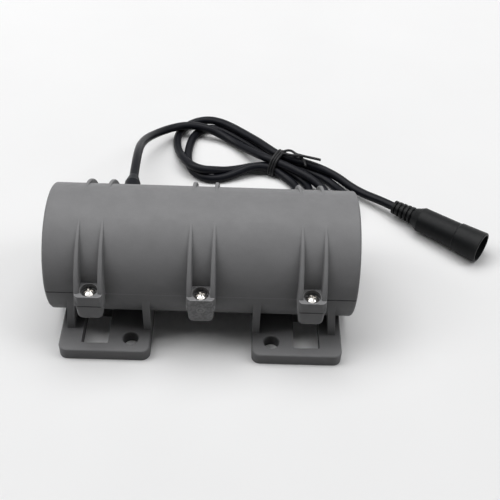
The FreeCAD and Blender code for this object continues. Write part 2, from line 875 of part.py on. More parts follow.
def route_wire(points, closed=False):
    """Straight runs joined by tangent arcs. Returns the wire and the arc radii."""
    corners = [vec(*p) for p in points]
    count = len(corners)
    cut_share = 0.45
    first = 0 if closed else 1
    last = count if closed else count - 1
    edges = []
    radii = []
    ends = {}
    for index in range(first, last):
        before = corners[index - 1]
        here = corners[index]
        after = corners[(index + 1) % count]
        back = before - here
        ahead = after - here
        cut = cut_share * min(back.Length, ahead.Length)
        back.normalize()
        ahead.normalize()
        turn = math.pi - back.getAngle(ahead)
        radius = cut / math.tan(turn / 2)
        start = here + back * cut
        end = here + ahead * cut
        bisector = (back + ahead).normalize()
        middle = here + bisector * (radius / math.cos(turn / 2) - radius)
        radii.append(radius)
        ends[index] = (start, end, Part.Arc(start, middle, end).toShape())
    order = list(range(first, last))
    at = ends[order[-1]][1] if closed else corners[0]
    for index in order:
        start, end, arc = ends[index]
        edges.append(Part.LineSegment(at, start).toShape())
        edges.append(arc)
        at = end
    if not closed:
        edges.append(Part.LineSegment(at, corners[-1]).toShape())
    return Part.Wire(edges), radii


def tube(points, radius):
    wire, _ = route_wire(points)
    start = vec(*points[0])
    heading = vec(*points[1]) - start
    profile = Part.Wire(Part.makeCircle(radius, start, heading))
    return wire.makePipeShell([profile], True, True)


def report_tube(name, points, radius, solid):
    wire, radii = route_wire(points)
    expected = math.pi * radius ** 2 * wire.Length
    shown = ", ".join(f"{r:.1f}" for r in radii)
    print(f"{name}: length {wire.Length:.1f}, volume ratio {solid.Volume / expected:.4f}, radii {shown}")


def cable_gland():
    """Moulded boot that grips the housing wall between two flanges and tapers to the cable."""
    flange_end = gland_face + gland_flange_thickness
    outer_start = body_radius + gland_clearance
    outer_end = outer_start + gland_flange_thickness
    taper_start = gland_end - gland_taper_length
    profile = [
        (gland_face, 0), (gland_face, gland_flange_radius), (flange_end, gland_flange_radius),
        (flange_end, gland_neck_radius), (outer_start, gland_neck_radius),
        (outer_start, gland_outer_flange_radius), (outer_end, gland_outer_flange_radius),
        (outer_end + gland_shoulder_run, gland_body_radius + gland_shoulder),
        (taper_start, gland_body_radius), (gland_end, cable_radius + gland_lip), (gland_end, 0),
    ]
    points = [vec(gland_x + r, y, axis_height) for y, r in profile]
    face = Part.Face(Part.makePolygon(points + points[:1]))
    return face.revolve(vec(gland_x, 0, axis_height), Y_AXIS, 360)


def flat_outline(points, z):
    wire, _ = route_wire([(x, y, z) for x, y in points], closed=True)
    return Part.Face(wire)


def cable_hank():
    """The outer shape of the tied hank, open inside its two loops."""
    up = vec(0, 0, hank_height)
    hank = flat_outline(hank_outline, 0).extrude(up)
    for hole in (hank_left_hole, hank_right_hole):
        hank = hank.cut(flat_outline(hole, -1).extrude(up * 2))
    return hank


def twist_tie():
    """A wire tie round the hank with its twisted end lying on top."""
    cx, cy = tie_centre
    angle = math.radians(tie_direction_deg)
    across = vec(-math.sin(angle), math.cos(angle), 0)
    centre = vec(cx, cy, 0)
    half = tie_half_width
    low = tie_radius
    high = tie_height - tie_radius
    ring_points = []
    for side, z in ((-1, low), (1, low), (1, high), (-1, high)):
        point = centre + across * (side * half)
        ring_points.append((point.x, point.y, z))
    wire, _ = route_wire(ring_points, closed=True)
    start = wire.Edges[0].Vertexes[0].Point
    heading = wire.Edges[0].Vertexes[-1].Point - start
    ring = wire.makePipeShell([Part.Wire(Part.makeCircle(tie_radius, start, heading))], True, True)
    knot = centre + across * (half * tie_knot_share) + vec(0, 0, high)
    stub_run = vec(*tie_end) - knot
    stub = Part.makeCylinder(tie_stub_radius, stub_run.Length, knot, stub_run)
    return fuse_all([ring, stub])


# In-line socket

def socket_frame():
    """Where the socket lies: on its mouth rim and its shoulder."""
    rise = socket_mouth_radius - socket_shoulder_radius
    tilt = math.degrees(math.asin(rise / (socket_length - socket_shoulder)))
    place = FreeCAD.Placement()
    turn = FreeCAD.Rotation(Z_AXIS, socket_heading_deg).multiply(FreeCAD.Rotation(Y_AXIS, -tilt))
    place.Rotation = turn
    place.Base = vec(*tail_route[-1])
    return place


def on_socket_axis(shape):
    return shape.transformed(socket_frame().toMatrix(), True)


def revolve_socket(profile):
    """Turns (distance along the socket, radius) points about the socket's own axis."""
    points = [vec(x, 0, r) for x, r in profile]
    face = Part.Face(Part.makePolygon(points + points[:1]))
    return on_socket_axis(face.revolve(vec(0, 0, 0), X_AXIS, 360))


def boot_profile():
    """The ribbed strain relief, from the cable end up to the smooth neck."""
    pitch = boot_length / boot_rib_count
    profile = []
    for index in range(boot_rib_count):
        start = index * pitch
        end = start + pitch - boot_groove_width
        for x, drop in ((start, 0), (end, 0), (end, boot_groove_depth), (start + pitch, boot_groove_depth)):
            slope = (boot_end_radius - boot_start_radius) * x / boot_length
            profile.append((x, boot_start_radius + slope - drop))
    return profile


def connector_body():
    """Moulded socket cover in one piece with its strain relief, open at the mouth."""
    neck = (socket_shoulder - socket_neck_run, boot_end_radius + socket_neck_rise)
    step_end = (socket_step + socket_step_run, socket_step_radius)
    pocket = socket_bore - insert_step
    return revolve_socket([(0, 0)] + boot_profile() + [
        (boot_length, boot_end_radius), neck, (socket_shoulder, socket_shoulder_radius),
        (socket_step, socket_barrel_radius), step_end, (socket_length - socket_bevel, socket_mouth_radius),
        (socket_length, socket_mouth_radius - socket_bevel), (socket_length, socket_bore),
        (socket_face, socket_bore), (socket_face, pocket), (socket_cavity_start, pocket),
        (socket_cavity_start, 0),
    ])


def socket_insert():
    """Contact carrier with the round bore that takes the plug's barrel."""
    start = socket_cavity_start + insert_clearance
    rim = insert_face - socket_bevel
    insert = revolve_socket([
        (start, 0), (start, insert_radius), (rim, insert_radius),
        (insert_face, insert_radius - socket_bevel), (insert_face, barrel_bore_radius + socket_bevel),
        (rim, barrel_bore_radius), (barrel_bore_bottom, barrel_bore_radius), (barrel_bore_bottom, 0),
    ])
    return insert.cut(contact_block(insert_clearance))


def contact_block(margin):
    """The spring leaf's space at the side of the bore."""
    half = contact_width / 2 + margin
    low = barrel_bore_radius - contact_bite
    block = box(barrel_bore_bottom - margin, insert_face - contact_face_gap, -half, half,
                low, low + contact_thickness + margin)
    return on_socket_axis(block)


def socket_pin():
    """The centre pin, with a domed tip just below the carrier's face."""
    tip = insert_face - pin_recess
    dome = tip - pin_dome
    return revolve_socket([
        (barrel_bore_bottom, 0), (barrel_bore_bottom, pin_radius), (dome - pin_taper, pin_radius),
        (dome, pin_radius * pin_taper_share), (tip, 0),
    ])


def all_nodes():
    centre = bearing_centre()
    nodes = {
        "upper_shell": upper_shell(),
        "lower_shell": lower_shell(),
        "shell_screws": shell_screws(),
        "motor_can": motor_can(),
        "end_bell": end_bell(),
        "magnets": magnets(),
        "magnet_clips": magnet_clips(),
        "carbon_brushes": Part.makeCompound([brush(1), brush(-1)]),
        "brush_arms": Part.makeCompound([brush_arm(1), brush_arm(-1)]),
        "motor_terminals": motor_terminals(),
        "red_lead": lead_wire(1),
        "black_lead": lead_wire(-1),
        "rotor_shaft": rotor_shaft(),
        "armature_core": armature_core(),
        "armature_windings": armature_windings(),
        "commutator": commutator(),
        "commutator_sleeve": commutator_sleeve(),
        "shaft_spacers": shaft_spacers(),
        "left_eccentric_weight": eccentric_weight(-1),
        "right_eccentric_weight": eccentric_weight(1),
        "weight_grub_screws": weight_grub_screws(),
        "cable_gland": cable_gland(),
        "power_cable": tube(lead_points(), cable_radius),
        "cable_hank": cable_hank(),
        "cable_tail": tube(tail_route, cable_radius),
        "twist_tie": twist_tie(),
        "connector_body": connector_body(),
        "socket_insert": socket_insert(),
        "socket_contact": contact_block(0),
        "socket_pin": socket_pin(),
    }
    for side, x in (("left", -centre), ("right", centre)):
        nodes[side + "_bearing_outer_ring"] = bearing_outer_ring(x)
        nodes[side + "_bearing_inner_ring"] = bearing_inner_ring(x)
        nodes[side + "_bearing_balls"] = bearing_balls(x)
        nodes[side + "_bearing_cage"] = bearing_cage(x)
    return nodes


def main():
    os.makedirs("parts", exist_ok=True)
    nodes = all_nodes()
    for name, shape in nodes.items():
        if not shape.isValid():
            print(f"{name}: not valid")
        print(f"{name}: {len(shape.Solids)} solids, volume {shape.Volume:.1f}")
        shape.exportStep(f"parts/{name}.step")
    report_tube("power_cable", lead_points(), cable_radius, nodes["power_cable"])
    report_tube("cable_tail", tail_route, cable_radius, nodes["cable_tail"])


main()
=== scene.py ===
import json
import math

import bpy
from mathutils import Matrix, Vector


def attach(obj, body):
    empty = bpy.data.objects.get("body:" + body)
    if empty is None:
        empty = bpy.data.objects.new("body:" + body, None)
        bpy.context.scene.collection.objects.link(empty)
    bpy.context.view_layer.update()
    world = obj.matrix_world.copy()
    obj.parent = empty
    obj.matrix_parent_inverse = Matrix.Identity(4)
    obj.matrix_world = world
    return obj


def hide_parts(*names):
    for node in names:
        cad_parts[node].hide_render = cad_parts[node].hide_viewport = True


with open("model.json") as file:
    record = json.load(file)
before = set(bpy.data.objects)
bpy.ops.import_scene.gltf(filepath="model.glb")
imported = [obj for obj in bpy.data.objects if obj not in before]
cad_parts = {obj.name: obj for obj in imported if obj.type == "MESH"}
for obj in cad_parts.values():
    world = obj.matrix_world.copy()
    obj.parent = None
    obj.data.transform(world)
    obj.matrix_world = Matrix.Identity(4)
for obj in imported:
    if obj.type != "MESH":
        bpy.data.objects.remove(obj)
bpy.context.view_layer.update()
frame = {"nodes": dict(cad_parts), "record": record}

# X runs along the motor axis, Y towards the cable and Z up from the surface. Places and lengths are
# in millimetres, apart from the floor, the lamps and the wave's repeat, which are in metres.
MM = 0.001

# The camera as solved from the photograph: its place, degrees, and focal length in pixels
IMAGE_SIZE = 500
SENSOR_WIDTH = 36.0
CLIP_START = 0.01
CLIP_END = 20
CAMERA_PLACE = (10.192, -208.144, 240.864)
CAMERA_YAW = 1.721
CAMERA_PITCH = -46.062
CAMERA_ROLL = 2.987
FOCAL_PIXELS = 832.91

# The height of the motor axis and of the seam, and how far out the outer lugs stand
AXIS_HEIGHT = 24.5
OUTER_LUG_PITCH = 37.0
# The housing's grey, how far the painted shade in its recesses reaches, and the radius of its painted
# edge highlight
HOUSING_GREY = (0.184, 0.184, 0.188)
RECESS_SHADE_REACH = 6.0
EDGE_HIGHLIGHT_RADIUS = 0.45
# The painted shade line along the seam: half its width, and where it shows on the lugs
SEAM_HALF_WIDTH = 0.28
SEAM_LUG_DEPTH = 27.0
SEAM_LUG_START = 10.0
# The coarse patch and the round mark on the middle lugs' faces
PATCH_DEPTH = 28.0
PATCH_HALF_WIDTH = 5.0
MARK_HEIGHT = 24.3
MARK_RING_RADIUS = 1.25
MARK_RING_HALF_WIDTH = 0.22
MARK_DOT_RADIUS = 0.5

# Metres after which a wave texture of scale 1 repeats
WAVE_REPEAT = 0.314

# The floor's colour as it is seen and as it throws light back, and how far out it goes in metres
FLOOR_SEEN = (0.86, 0.86, 0.862)
FLOOR_THROWN = (0.4, 0.4, 0.4)
FLOOR_REACH = 4.0
# How many metres out the lamps light the floor, and how brightly it glows beyond that
LIT_REACH = 1.15
FLOOR_GLOW = 0.8

# Each lamp: name, place, target and size in metres, watts. The key lamp hangs behind the barrel. The
# side lamps are level with its axis, so that they light the floor in front of it and hardly its front.
LAMPS = [
    ("key", (-0.05, 0.25, 0.95), (0.01, 0.03, 0), (0.9, 0.7), 7.6),
    ("side_left", (-0.78, -0.02, 0.9), (0, -0.02, 0), (0.4, 0.7), 4.2),
    ("side_right", (0.78, -0.02, 0.9), (0, -0.02, 0), (0.4, 0.7), 3.2),
]
# The world's strength for the rays that light the object
AMBIENT = 0.02

# Points round a quarter of a smooth line's section, and steps between two of its control points
LINE_ROUNDNESS = 5
LINE_STEPS = 8

CABLE_RADIUS = 1.8
# From the boot down to the surface, then over the top of the bundle to the tie
CABLE_LEAD = [
    (-29.3, 38.0, 24.5), (-29.4, 47.0, 24.1), (-29.6, 57.0, 21.8), (-29.8, 67.5, 17.2),
    (-28.4, 78.3, 12.0), (-24.2, 88.0, 7.6), (-18.6, 94.0, 5.7), (-13.2, 96.2, 5.45),
    (-7.8, 96.2, 5.5), (-2.6, 94.6, 5.4), (2.4, 93.3, 3.6), (7.4, 90.4, 2.7), (12.4, 85.9, 2.9),
    (17.4, 80.3, 4.4), (22.0, 75.7, 5.9),
]
# Each loop behind the body and each loop beside it, in the order in which the cable runs
LOOP_BEHIND = [
    (26.4, 72.8, 6.1), (31.3, 70.2, 5.9), (36.4, 67.2, 5.5), (42.0, 63.6, 5.0), (47.4, 59.2, 3.4),
    (51.6, 53.2, 1.9), (53.4, 46.8, 1.85), (51.2, 40.6, 1.85), (46.0, 37.0, 1.85),
    (40.4, 37.6, 1.85), (36.6, 41.8, 1.85), (35.6, 47.6, 1.85), (36.8, 53.4, 1.85),
    (37.4, 58.6, 1.85), (35.2, 63.2, 1.95), (31.4, 67.0, 2.3),
]
LOOP_INNER = [
    (27.2, 70.2, 3.2), (22.0, 71.1, 4.1), (16.8, 70.2, 4.1), (11.4, 67.6, 2.9), (6.0, 65.3, 1.9),
    (0.6, 64.1, 1.85), (-4.2, 65.2, 1.85), (-8.0, 68.6, 1.85), (-10.2, 73.4, 1.85),
    (-11.0, 79.0, 1.85), (-10.8, 84.6, 1.85), (-10.0, 90.2, 1.85), (-8.2, 95.2, 1.85),
    (-4.4, 98.8, 1.85), (0.4, 99.4, 1.85), (4.8, 97.6, 1.85), (9.6, 94.0, 1.85),
    (15.0, 89.4, 1.85), (20.6, 84.0, 2.1), (25.8, 79.8, 2.7),
]
LOOP_SECOND = [
    (30.6, 76.8, 2.9), (35.4, 74.0, 2.4), (40.6, 71.6, 1.9), (46.0, 68.9, 1.85),
    (51.0, 65.0, 1.85), (55.2, 59.6, 1.9), (58.2, 53.4, 3.3), (58.2, 47.4, 5.2),
    (54.8, 42.6, 5.6), (49.6, 40.2, 5.2), (44.6, 40.8, 3.2), (41.0, 44.0, 1.95),
    (40.2, 49.2, 1.85), (41.8, 54.8, 1.85), (42.4, 60.4, 1.85), (39.4, 65.4, 1.9),
    (35.0, 69.3, 2.1), (30.8, 72.0, 2.4),
]
LOOP_OUTER = [
    (27.2, 73.5, 2.5), (22.3, 73.9, 1.9), (17.2, 73.0, 1.85), (12.0, 71.1, 1.95),
    (6.6, 68.8, 2.7), (1.3, 66.8, 4.5), (-4.3, 65.9, 5.5), (-9.2, 68.6, 5.5), (-12.5, 73.9, 4.8),
    (-14.6, 79.4, 3.0), (-16.0, 85.0, 1.9), (-16.6, 90.6, 1.85), (-15.6, 96.0, 1.85),
    (-12.6, 100.6, 1.95), (-8.0, 103.3, 2.6), (-2.6, 103.2, 3.8), (2.8, 100.6, 4.8),
    (8.4, 96.5, 5.2), (14.3, 91.5, 5.3), (19.8, 86.2, 5.8), (24.6, 80.9, 6.15),
]
CABLE_TAIL = [
    (29.0, 76.6, 6.15), (34.8, 74.4, 5.9), (41.6, 72.2, 5.4), (48.0, 69.5, 4.9),
    (54.4, 65.6, 4.2), (60.2, 60.2, 3.2), (66.0, 55.2, 3.5), (71.6, 51.2, 4.35),
    (77.1, 46.9, 4.71),
]

TIE_RADIUS = 0.55
TIE_CENTRE = (28.4, 73.0)
TIE_DIRECTION = -28.0
TIE_PITCH = 1.1
# The bundle's outline where the tie grips it: across the bundle and up
TIE_OUTLINE = [
    (-1.8, 0.55), (-3.6, 0.6), (-5.2, 1.4), (-5.7, 3.0), (-5.2, 4.4), (-4.1, 6.0), (-3.1, 7.6),
    (-1.5, 8.5), (0.5, 8.4), (2.7, 8.6), (4.9, 8.0), (5.7, 6.6), (6.0, 5.0), (6.4, 3.6),
    (6.3, 2.2), (5.5, 1.0), (4.0, 0.55), (1.2, 0.55),
]
TIE_TURNS = 3


def camera():
    yaw = math.radians(CAMERA_YAW)
    pitch = math.radians(CAMERA_PITCH)
    roll = math.radians(CAMERA_ROLL)
    forward = Vector((math.sin(yaw) * math.cos(pitch), math.cos(yaw) * math.cos(pitch), math.sin(pitch)))
    level = Vector((math.cos(yaw), -math.sin(yaw), 0))
    upright = level.cross(forward)
    right = level * math.cos(roll) + upright * math.sin(roll)
    up = upright * math.cos(roll) - level * math.sin(roll)
    data = bpy.data.cameras.new("camera")
    data.sensor_width = SENSOR_WIDTH
    data.lens = FOCAL_PIXELS / IMAGE_SIZE * SENSOR_WIDTH
    data.clip_start = CLIP_START
    data.clip_end = CLIP_END
    eye = bpy.data.objects.new("camera", data)
    bpy.context.collection.objects.link(eye)
    turn = Matrix((right, up, -forward)).transposed().to_4x4()
    eye.matrix_world = Matrix.Translation(Vector(CAMERA_PLACE) * MM) @ turn
    bpy.context.scene.camera = eye


def smooth_line(name, points, radius):
    """A round line whose control points are given in millimetres."""
    curve = bpy.data.curves.new(name, "CURVE")
    curve.dimensions = "3D"
    # The points carry the radius, so that the curve's own box has the true size
    curve.bevel_depth = 1.0
    curve.bevel_resolution = LINE_ROUNDNESS
    curve.use_fill_caps = True
    spline = curve.splines.new("NURBS")
    spline.points.add(len(points) - 1)
    for point, place in zip(spline.points, points):
        point.co = (place[0] * MM, place[1] * MM, place[2] * MM, 1)
        point.radius = radius * MM
    spline.order_u = 3
    spline.use_endpoint_u = True
    spline.resolution_u = LINE_STEPS
    piece = bpy.data.objects.new(name, curve)
    bpy.context.collection.objects.link(piece)
    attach(piece, "housing")
    return piece


class Nodes:
    """A small helper round one material's node tree."""

    def __init__(self, name):
        self.material = bpy.data.materials.new(name)
        self.material.use_nodes = True
        self.tree = self.material.node_tree
        self.shader = self.tree.nodes["Principled BSDF"]
        self.coordinates = self.add("ShaderNodeTexCoord").outputs["Object"]

    def add(self, kind, **settings):
        node = self.tree.nodes.new(kind)
        for key, value in settings.items():
            setattr(node, key, value)
        return node

    def put(self, socket, value):
        if hasattr(value, "is_output"):
            self.tree.links.new(value, socket)
        else:
            socket.default_value = value

    def noise(self, size_mm, detail, stretch=(1, 1, 1), roughness=0.5):
        """Noise between 0 and 1 whose cells are about size_mm wide."""
        mapping = self.add("ShaderNodeMapping")
        self.put(mapping.inputs["Vector"], self.coordinates)
        mapping.inputs["Scale"].default_value = stretch
        node = self.add("ShaderNodeTexNoise")
        self.put(node.inputs["Vector"], mapping.outputs["Vector"])
        node.inputs["Scale"].default_value = 1 / (size_mm * MM)
        node.inputs["Detail"].default_value = detail
        node.inputs["Roughness"].default_value = roughness
        return node.outputs["Fac"]

    def bands(self, size_mm, direction, distortion):
        node = self.add("ShaderNodeTexWave", wave_type="BANDS", bands_direction=direction)
        self.put(node.inputs["Vector"], self.coordinates)
        node.inputs["Scale"].default_value = WAVE_REPEAT / (size_mm * MM)
        node.inputs["Distortion"].default_value = distortion
        return node.outputs["Fac"]

    def math(self, operation, first, second=0.0):
        node = self.add("ShaderNodeMath", operation=operation)
        for socket, value in zip(node.inputs, (first, second)):
            self.put(socket, value)
        return node.outputs[0]

    def spread(self, value, low, high, from_low=0.3, from_high=0.7):
        node = self.add("ShaderNodeMapRange", clamp=True)
        self.put(node.inputs["Value"], value)
        node.inputs["From Min"].default_value = from_low
        node.inputs["From Max"].default_value = from_high
        node.inputs["To Min"].default_value = low
        node.inputs["To Max"].default_value = high
        return node.outputs["Result"]

    def mix(self, share, first, second):
        node = self.add("ShaderNodeMix", data_type="RGBA")
        self.put(node.inputs["Factor"], share)
        colours = [socket for socket in node.inputs if socket.type == "RGBA"]
        for socket, value in zip(colours, (first, second)):
            self.put(socket, value if hasattr(value, "is_output") else (*value, 1))
        return [socket for socket in node.outputs if socket.type == "RGBA"][0]

    def part_mix(self, share, most, first, second):
        """The first colour, with up to `most` of the second where share is 1."""
        return self.mix(self.math("MULTIPLY", share, most), first, second)

    def edges(self):
        """0 on flat faces and up to 1 on sharp outer edges."""
        return self.spread(self.add("ShaderNodeNewGeometry").outputs["Pointiness"], 0, 1, 0.51, 0.6)

    def open_share(self, reach_mm):
        """1 where nothing stands near the surface, less in corners and recesses."""
        node = self.add("ShaderNodeAmbientOcclusion", samples=8, only_local=False)
        node.inputs["Distance"].default_value = reach_mm * MM
        return node.outputs["AO"]

    def rounded_edges(self, radius_mm):
        """1 along edges, where a slightly rounded normal leaves the flat one."""
        bevel = self.add("ShaderNodeBevel", samples=6)
        bevel.inputs["Radius"].default_value = radius_mm * MM
        turn = self.add("ShaderNodeVectorMath", operation="DOT_PRODUCT")
        self.put(turn.inputs[0], bevel.outputs["Normal"])
        self.put(turn.inputs[1], self.add("ShaderNodeNewGeometry").outputs["Normal"])
        return self.spread(turn.outputs["Value"], 1, 0, 0.8, 0.995)

    def bump(self, height, depth_mm, strength=1.0, below=None):
        node = self.add("ShaderNodeBump")
        self.put(node.inputs["Height"], height)
        node.inputs["Distance"].default_value = depth_mm * MM
        node.inputs["Strength"].default_value = strength
        if below is not None:
            self.put(node.inputs["Normal"], below)
        return node.outputs["Normal"]

    def finish(self, colour, roughness, normal, metallic=0.0, **constants):
        self.put(self.shader.inputs["Base Color"], colour)
        self.put(self.shader.inputs["Roughness"], roughness)
        self.put(self.shader.inputs["Normal"], normal)
        self.shader.inputs["Metallic"].default_value = metallic
        for key, value in constants.items():
            self.shader.inputs[key.replace("_", " ")].default_value = value
        return self.material


def scaled(colour, factor):
    return tuple(min(channel * factor, 1.0) for channel in colour)


def raised(colour, step):
    return tuple(channel + step for channel in colour)


def plastic(name, colour, grain, depth, rough):
    """Moulded plastic with an eroded-tool grain, faint cloudiness and lighter edges."""
    n = Nodes(name)
    cloud = n.spread(n.noise(6.0, 3), 0, 1)
    base = n.mix(cloud, scaled(colour, 0.94), scaled(colour, 1.06))
    base = n.part_mix(n.edges(), 0.5, base, scaled(colour, 1.25))
    roughness = n.spread(n.noise(1.6, 4), *rough)
    normal = n.bump(n.noise(grain, 3), depth)
    normal = n.bump(n.noise(9.0, 2), depth * 4, strength=0.5, below=normal)
    return n.finish(base, roughness, normal)


def housing_plastic():
    """Grey with painted shade in recesses and along the seam and a painted highlight on edges; a coarse
    patch and a round mark on the middle lugs.
    """
    n = Nodes("housing_plastic")
    colour = HOUSING_GREY
    cloud = n.spread(n.noise(7.0, 3), 0, 1)
    speck = n.spread(n.noise(0.5, 2), 0, 1)
    # Painted shade: where nearby surfaces close in, as in recesses, channels and counterbores, the grey
    # darkens up to 0.62 of the way to a quarter of itself
    recess_shade = n.spread(n.open_share(RECESS_SHADE_REACH), 0.62, 0, from_low=0.2, from_high=0.95)
    base = n.mix(cloud, scaled(colour, 0.95), scaled(colour, 1.05))
    base = n.part_mix(speck, 0.12, base, scaled(colour, 0.72))
    base = n.mix(recess_shade, base, scaled(colour, 0.25))
    # Painted highlight: edges lighten up to 0.55 of the way to 1.7 times the grey
    base = n.part_mix(n.rounded_edges(EDGE_HIGHLIGHT_RADIUS), 0.55, base, scaled(colour, 1.7))
    roughness = n.spread(n.noise(2.2, 4), 0.52, 0.66)
    split = n.add("ShaderNodeSeparateXYZ")
    n.put(split.inputs[0], n.coordinates)
    x, y, z = split.outputs
    aside = n.math("ABSOLUTE", x)
    outward = n.math("ABSOLUTE", y)
    off_seam = n.math("ABSOLUTE", n.math("SUBTRACT", z, AXIS_HEIGHT * MM))
    at_seam = n.math("LESS_THAN", off_seam, SEAM_HALF_WIDTH * MM)
    past_lugs = n.math("GREATER_THAN", aside, OUTER_LUG_PITCH * MM)
    on_lug = n.math("MULTIPLY", n.math("GREATER_THAN", outward, SEAM_LUG_DEPTH * MM),
                    n.math("GREATER_THAN", aside, SEAM_LUG_START * MM))
    # Painted shade: a dark line along the seam groove, beyond the outer lugs and on the outer lugs' faces
    seam = n.math("MULTIPLY", at_seam, n.math("MAXIMUM", past_lugs, on_lug))
    base = n.mix(seam, base, scaled(colour, 0.2))
    on_face = n.math("GREATER_THAN", outward, PATCH_DEPTH * MM)
    in_middle = n.math("LESS_THAN", aside, PATCH_HALF_WIDTH * MM)
    patch = n.math("MULTIPLY", on_face, in_middle)
    rise = n.math("SUBTRACT", z, MARK_HEIGHT * MM)
    radius = n.math("SQRT", n.math("ADD", n.math("MULTIPLY", x, x), n.math("MULTIPLY", rise, rise)))
    off_ring = n.math("ABSOLUTE", n.math("SUBTRACT", radius, MARK_RING_RADIUS * MM))
    ring = n.math("LESS_THAN", off_ring, MARK_RING_HALF_WIDTH * MM)
    dot = n.math("LESS_THAN", radius, MARK_DOT_RADIUS * MM)
    mark = n.math("MULTIPLY", n.math("ADD", ring, dot), patch)
    speckle = n.spread(n.noise(0.9, 2), 0, 0.8, from_low=0.45, from_high=0.6)
    base = n.part_mix(speckle, patch, base, scaled(colour, 1.6))
    base = n.part_mix(mark, 0.7, base, scaled(colour, 2.1))
    coarse = n.math("MULTIPLY", n.noise(0.9, 3), patch)
    normal = n.bump(n.noise(0.3, 3), 0.028)
    normal = n.bump(coarse, 0.3, strength=0.9, below=normal)
    normal = n.bump(mark, 0.3, strength=0.9, below=normal)
    normal = n.bump(n.noise(11.0, 2), 0.1, strength=0.5, below=normal)
    return n.finish(base, roughness, normal, Specular_IOR_Level=0.35)


def soft_pvc(name, colour, rough=(0.3, 0.42), grain=0.16, depth=0.006, ripple=0.03, shine=0.25):
    """Cable cover: smooth with a faint ripple, handling dust and a slight sheen."""
    n = Nodes(name)
    dust = n.spread(n.noise(3.0, 5), 0, 1, from_low=0.5, from_high=0.8)
    base = n.part_mix(dust, 0.35, colour, raised(colour, 0.01))
    base = n.part_mix(n.edges(), 0.4, base, raised(colour, 0.02))
    roughness = n.spread(n.noise(1.2, 4), *rough)
    normal = n.bump(n.noise(grain, 2), depth)
    normal = n.bump(n.noise(3.0, 2), ripple, strength=0.6, below=normal)
    return n.finish(base, roughness, normal, Specular_IOR_Level=shine)


def metal(name, colour, rough, lines, direction, depth=0.004, stain=0.1):
    """Ground, turned or drawn metal: fine lines along its working direction, and faint stains."""
    n = Nodes(name)
    brushed = n.noise(lines, 3, direction)
    cloud = n.spread(n.noise(2.5, 4), 0, 1)
    base = n.mix(cloud, scaled(colour, 1 - stain), scaled(colour, 1 + stain / 2))
    base = n.part_mix(n.edges(), 0.3, base, scaled(colour, 1.2))
    roughness = n.spread(brushed, *rough)
    return n.finish(base, roughness, n.bump(brushed, depth), metallic=1.0)


def banded_metal(name, colour, pitch, direction, dark, rough=(0.25, 0.4)):
    """Stacked sheets or wound wire: regular bands with darker gaps."""
    n = Nodes(name)
    wave = n.bands(pitch, direction, 0.4)
    tarnish = n.spread(n.noise(1.5, 4), 0, 1)
    base = n.mix(n.spread(wave, 0, 1, from_low=0.1, from_high=0.5), scaled(colour, dark), colour)
    base = n.part_mix(tarnish, 0.2, base, scaled(colour, 0.7))
    roughness = n.spread(n.noise(0.6, 3), *rough)
    return n.finish(base, roughness, n.bump(wave, 0.03), metallic=1.0)


def speckled(name, colour, rough=(0.6, 0.8), grain=0.2):
    """Pressed and sintered pieces: granular and dull, with chipped light edges."""
    n = Nodes(name)
    grit = n.noise(grain, 5, roughness=0.7)
    base = n.mix(n.spread(grit, 0, 1), scaled(colour, 0.7), scaled(colour, 1.35))
    base = n.part_mix(n.edges(), 0.5, base, scaled(colour, 2.0))
    return n.finish(base, n.spread(n.noise(1.0, 3), *rough), n.bump(grit, 0.02))


